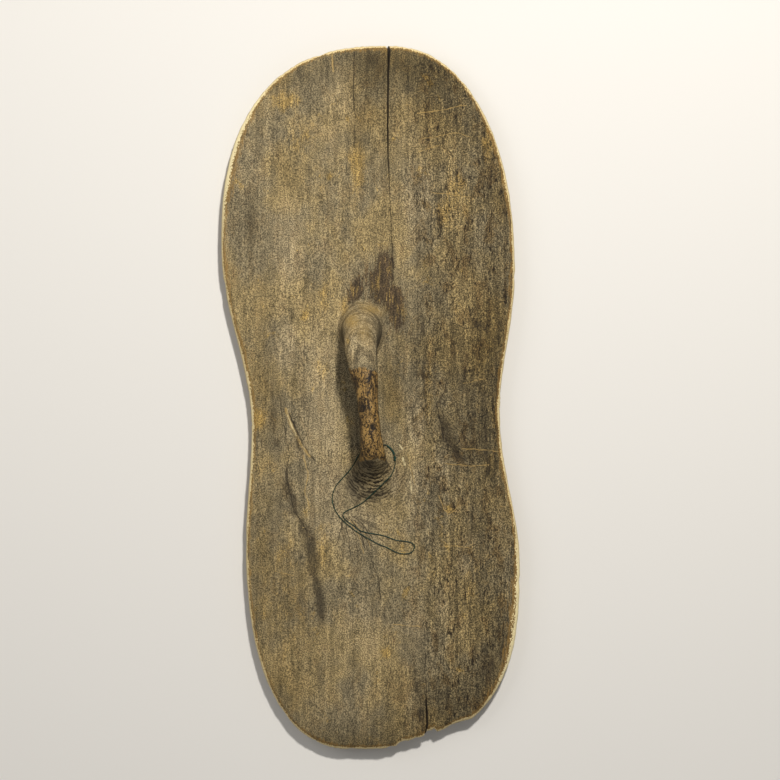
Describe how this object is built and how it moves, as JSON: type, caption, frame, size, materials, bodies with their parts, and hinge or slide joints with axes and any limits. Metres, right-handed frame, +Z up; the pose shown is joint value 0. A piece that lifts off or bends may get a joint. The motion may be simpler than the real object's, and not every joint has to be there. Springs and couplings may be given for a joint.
{
  "type": "carved wooden shield",
  "caption": "Waisted oblong wooden shield carved from one block, seen from the back: bridge-shaped grip between two roots, drying cracks, worn rim and a thread loop on the grip.",
  "frame": {"origin": "under the middle of the board, on the surface that its front face rests on", "axes": "+Z up out of the back, through the grip; +Y along the shield's length towards the broader lobe"},
  "size_m": [0.382, 0.9, 0.0866],
  "materials": {
    "weathered_wood": "dry weathered carved wood, grey-brown with vertical grain, a brown hand-polished bar and golden worn rims",
    "green_thread": "fine twisted dark green thread with a slight sheen"
  },
  "bodies": {
    "root": {"shield": "weathered_wood", "tag_thread": "green_thread", "thread_knot": "green_thread"}
  },
  "joints": []
}
